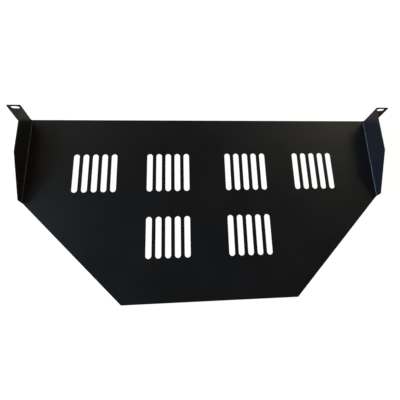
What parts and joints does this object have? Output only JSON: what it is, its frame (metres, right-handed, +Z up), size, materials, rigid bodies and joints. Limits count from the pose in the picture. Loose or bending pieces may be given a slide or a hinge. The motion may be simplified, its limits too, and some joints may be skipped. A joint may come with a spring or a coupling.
{
  "type": "cantilever rack shelf",
  "caption": "Shallow cantilever rack shelf folded from black powder-coated steel sheet, with slotted ears, tapered side gussets, vent slots and cut-off rear corners.",
  "frame": {"origin": "midway between the four rack holes, on the back of the ears, where they seat on the rack's posts", "axes": "+X across the rack, +Y from the ears to the rear edge of the tray, +Z up"},
  "size_m": [0.4826, 0.23, 0.0436],
  "materials": {
    "powder_coated_steel": "satin black powder coat on folded mild steel sheet"
  },
  "bodies": {
    "root": {"shelf": "powder_coated_steel"}
  },
  "joints": []
}
